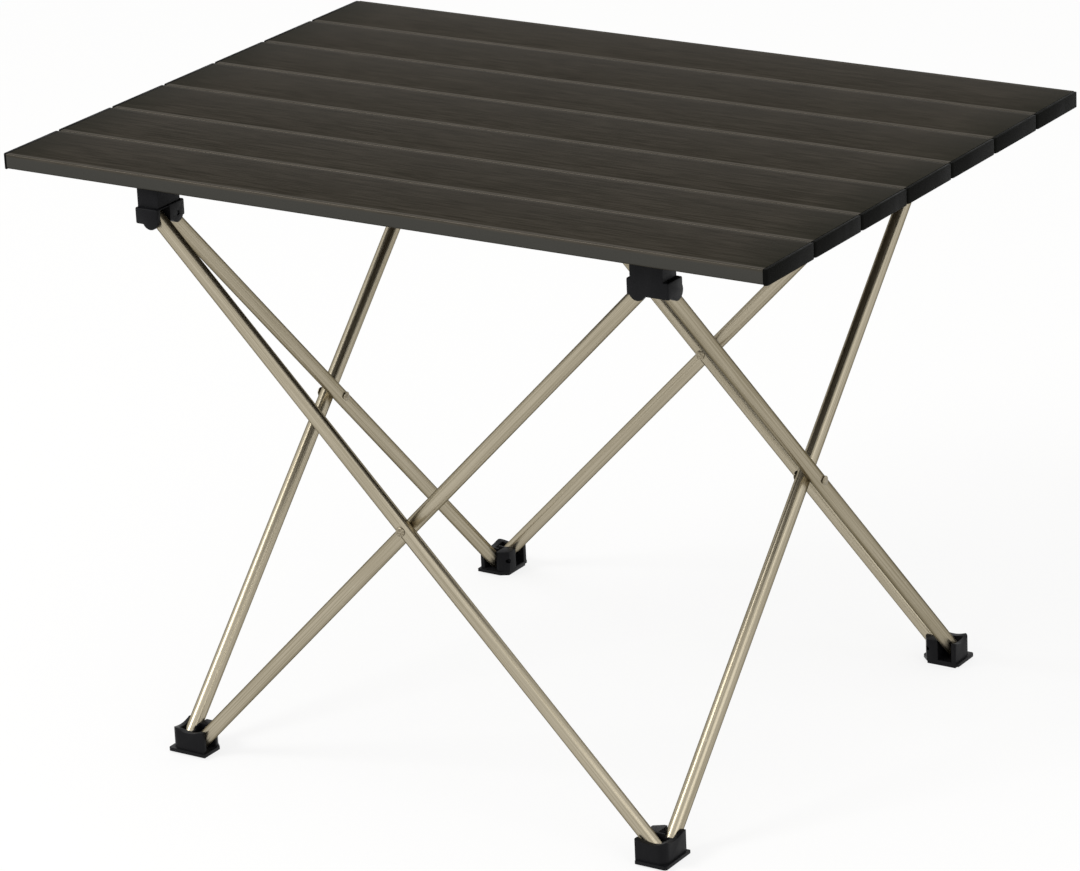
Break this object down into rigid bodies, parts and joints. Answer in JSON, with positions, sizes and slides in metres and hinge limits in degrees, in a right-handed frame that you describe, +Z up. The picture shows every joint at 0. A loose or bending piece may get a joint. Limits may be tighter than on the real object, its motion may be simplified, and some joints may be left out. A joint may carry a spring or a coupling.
{
  "type": "folding camp table",
  "caption": "Low folding camp table: a roll-up aluminium slat top on a collapsible square frame of crossed tubes.",
  "frame": {"origin": "on the floor, under the middle of the table top", "axes": "+X along the slats, +Y from the front slat to the back slat, +Z up"},
  "size_m": [0.57, 0.4084, 0.41],
  "materials": {
    "dark_aluminium": "fine brushed, dark bronze grey anodised",
    "black_plastic": "moulded black nylon, fine grain",
    "champagne_aluminium": "satin champagne anodised",
    "bright_steel": "headed steel, dulled",
    "black_steel": "turned steel, black oxide",
    "elastic": "black braided elastic"
  },
  "bodies": {
    "foot_front_left": {"foot_front_left": "black_plastic", "pin_foot_front_left_inner": "black_steel", "pin_foot_front_left_outer": "black_steel"},
    "front_inner": {"tube_front_inner": "champagne_aluminium", "rivet_front": "bright_steel"},
    "front_outer": {"tube_front_outer": "champagne_aluminium"},
    "left_inner": {"tube_left_inner": "champagne_aluminium"},
    "left_outer": {"tube_left_outer": "champagne_aluminium", "rivet_left": "bright_steel"},
    "right_inner": {"tube_right_inner": "champagne_aluminium"},
    "right_outer": {"tube_right_outer": "champagne_aluminium", "rivet_right": "bright_steel"},
    "back_inner": {"tube_back_inner": "champagne_aluminium", "rivet_back": "bright_steel"},
    "back_outer": {"tube_back_outer": "champagne_aluminium"},
    "foot_front_right": {"foot_front_right": "black_plastic", "pin_foot_front_right_inner": "black_steel", "pin_foot_front_right_outer": "black_steel"},
    "foot_back_right": {"foot_back_right": "black_plastic", "pin_foot_back_right_inner": "black_steel", "pin_foot_back_right_outer": "black_steel"},
    "foot_back_left": {"foot_back_left": "black_plastic", "pin_foot_back_left_inner": "black_steel", "pin_foot_back_left_outer": "black_steel"},
    "hub_front_left": {"hub_front_left": "black_plastic", "pin_hub_front_left_inner": "black_steel", "pin_hub_front_left_outer": "black_steel"},
    "hub_front_right": {"hub_front_right": "black_plastic", "pin_hub_front_right_inner": "black_steel", "pin_hub_front_right_outer": "black_steel"},
    "hub_back_right": {"hub_back_right": "black_plastic", "pin_hub_back_right_inner": "black_steel", "pin_hub_back_right_outer": "black_steel"},
    "hub_back_left": {"hub_back_left": "black_plastic", "pin_hub_back_left_inner": "black_steel", "pin_hub_back_left_outer": "black_steel"},
    "slat_1": {"slat_1": "dark_aluminium", "end_cap_left_1": "black_plastic", "end_cap_right_1": "black_plastic"},
    "slat_2": {"slat_2": "dark_aluminium", "end_cap_left_2": "black_plastic", "end_cap_right_2": "black_plastic"},
    "slat_3": {"slat_3": "dark_aluminium", "end_cap_left_3": "black_plastic", "end_cap_right_3": "black_plastic"},
    "slat_4": {"slat_4": "dark_aluminium", "end_cap_left_4": "black_plastic", "end_cap_right_4": "black_plastic", "elastic_cord_left": "elastic", "elastic_cord_right": "elastic"},
    "slat_5": {"slat_5": "dark_aluminium", "end_cap_left_5": "black_plastic", "end_cap_right_5": "black_plastic"},
    "slat_6": {"slat_6": "dark_aluminium", "end_cap_left_6": "black_plastic", "end_cap_right_6": "black_plastic"},
    "slat_7": {"slat_7": "dark_aluminium", "end_cap_left_7": "black_plastic", "end_cap_right_7": "black_plastic"}
  },
  "joints": [
    {"name": "frame_fold", "type": "hinge", "parent": "foot_front_left", "child": "front_inner", "pos_m": [-0.17162, -0.18175, 0.01103], "axis": [0, -1, 0], "range_deg": [0, 41.2]},
    {"name": "left_outer_fold", "type": "hinge", "parent": "foot_front_left", "child": "left_outer", "pos_m": [-0.18515, -0.17862, 0.01103], "axis": [1, 0, 0], "range_deg": [0, 41.2]},
    {"name": "front_scissor", "type": "hinge", "parent": "front_inner", "child": "front_outer", "pos_m": [0.007, -0.18695, 0.1946], "axis": [0, 1, 0], "range_deg": [0, 82.4]},
    {"name": "left_scissor", "type": "hinge", "parent": "left_outer", "child": "left_inner", "pos_m": [-0.17995, 0, 0.1946], "axis": [-1, 0, 0], "range_deg": [0, 82.4]},
    {"name": "hub_front_right_turn", "type": "hinge", "parent": "front_inner", "child": "hub_front_right", "pos_m": [0.18562, -0.18175, 0.37817], "axis": [0, 1, 0], "range_deg": [0, 41.2]},
    {"name": "hub_back_left_turn", "type": "hinge", "parent": "left_outer", "child": "hub_back_left", "pos_m": [-0.18515, 0.17862, 0.37817], "axis": [-1, 0, 0], "range_deg": [0, 41.2]},
    {"name": "hub_front_left_turn", "type": "hinge", "parent": "front_outer", "child": "hub_front_left", "pos_m": [-0.17162, -0.19215, 0.37817], "axis": [0, -1, 0], "range_deg": [0, 41.2]},
    {"name": "foot_front_right_turn", "type": "hinge", "parent": "front_outer", "child": "foot_front_right", "pos_m": [0.18562, -0.19215, 0.01103], "axis": [0, -1, 0], "range_deg": [0, 41.2]},
    {"name": "foot_back_left_turn", "type": "hinge", "parent": "left_inner", "child": "foot_back_left", "pos_m": [-0.17475, 0.17862, 0.01103], "axis": [1, 0, 0], "range_deg": [0, 41.2]},
    {"name": "right_outer_fold", "type": "hinge", "parent": "hub_front_right", "child": "right_outer", "pos_m": [0.19915, -0.17862, 0.37817], "axis": [-1, 0, 0], "range_deg": [0, 41.2]},
    {"name": "right_scissor", "type": "hinge", "parent": "right_outer", "child": "right_inner", "pos_m": [0.19395, 0, 0.1946], "axis": [1, 0, 0], "range_deg": [0, 82.4]},
    {"name": "back_inner_fold", "type": "hinge", "parent": "hub_back_left", "child": "back_inner", "pos_m": [-0.17162, 0.18175, 0.37817], "axis": [0, 1, 0], "range_deg": [0, 41.2]},
    {"name": "back_scissor", "type": "hinge", "parent": "back_inner", "child": "back_outer", "pos_m": [0.007, 0.18695, 0.1946], "axis": [0, -1, 0], "range_deg": [0, 82.4]},
    {"name": "hub_back_right_turn", "type": "hinge", "parent": "right_inner", "child": "hub_back_right", "pos_m": [0.18875, 0.17862, 0.37817], "axis": [-1, 0, 0], "range_deg": [0, 41.2]},
    {"name": "foot_back_right_turn", "type": "hinge", "parent": "right_outer", "child": "foot_back_right", "pos_m": [0.19915, 0.17862, 0.01103], "axis": [1, 0, 0], "range_deg": [0, 41.2]},
    {"name": "top_lift", "type": "slide", "parent": "hub_front_right", "child": "slat_1", "axis": [0, 0, 1], "range_m": [0, 0.288]},
    {"name": "top_roll", "type": "hinge", "parent": "slat_1", "child": "slat_2", "pos_m": [0, -0.146, 0.41], "axis": [1, 0, 0], "range_deg": [0, 48], "deforming": ["elastic_cord_left", "elastic_cord_right"]},
    {"name": "top_roll_3", "type": "hinge", "parent": "slat_2", "child": "slat_3", "pos_m": [0, -0.0876, 0.41], "axis": [1, 0, 0], "range_deg": [0, 48], "deforming": ["elastic_cord_left", "elastic_cord_right"]},
    {"name": "top_roll_4", "type": "hinge", "parent": "slat_3", "child": "slat_4", "pos_m": [0, -0.0292, 0.41], "axis": [1, 0, 0], "range_deg": [0, 48], "deforming": ["elastic_cord_left", "elastic_cord_right"]},
    {"name": "top_roll_5", "type": "hinge", "parent": "slat_4", "child": "slat_5", "pos_m": [0, 0.0292, 0.41], "axis": [1, 0, 0], "range_deg": [0, 48], "deforming": ["elastic_cord_left", "elastic_cord_right"]},
    {"name": "top_roll_6", "type": "hinge", "parent": "slat_5", "child": "slat_6", "pos_m": [0, 0.0876, 0.41], "axis": [1, 0, 0], "range_deg": [0, 48], "deforming": ["elastic_cord_left", "elastic_cord_right"]},
    {"name": "top_roll_7", "type": "hinge", "parent": "slat_6", "child": "slat_7", "pos_m": [0, 0.146, 0.41], "axis": [1, 0, 0], "range_deg": [0, 48], "deforming": ["elastic_cord_left", "elastic_cord_right"]}
  ],
  "couplings": [
    {"joint": "left_outer_fold", "follows": "frame_fold", "ratio": 1},
    {"joint": "front_scissor", "follows": "frame_fold", "ratio": 2},
    {"joint": "left_scissor", "follows": "frame_fold", "ratio": 2},
    {"joint": "hub_front_right_turn", "follows": "frame_fold", "ratio": 1},
    {"joint": "hub_back_left_turn", "follows": "frame_fold", "ratio": 1},
    {"joint": "hub_front_left_turn", "follows": "frame_fold", "ratio": 1},
    {"joint": "foot_front_right_turn", "follows": "frame_fold", "ratio": 1},
    {"joint": "foot_back_left_turn", "follows": "frame_fold", "ratio": 1},
    {"joint": "right_outer_fold", "follows": "frame_fold", "ratio": 1},
    {"joint": "right_scissor", "follows": "frame_fold", "ratio": 2},
    {"joint": "back_inner_fold", "follows": "frame_fold", "ratio": 1},
    {"joint": "back_scissor", "follows": "frame_fold", "ratio": 2},
    {"joint": "hub_back_right_turn", "follows": "frame_fold", "ratio": 1},
    {"joint": "foot_back_right_turn", "follows": "frame_fold", "ratio": 1},
    {"joint": "top_lift", "follows": "frame_fold", "m_per_rad": 0.4},
    {"joint": "top_roll_3", "follows": "top_roll", "ratio": 1},
    {"joint": "top_roll_4", "follows": "top_roll", "ratio": 1},
    {"joint": "top_roll_5", "follows": "top_roll", "ratio": 1},
    {"joint": "top_roll_6", "follows": "top_roll", "ratio": 1},
    {"joint": "top_roll_7", "follows": "top_roll", "ratio": 1}
  ]
}
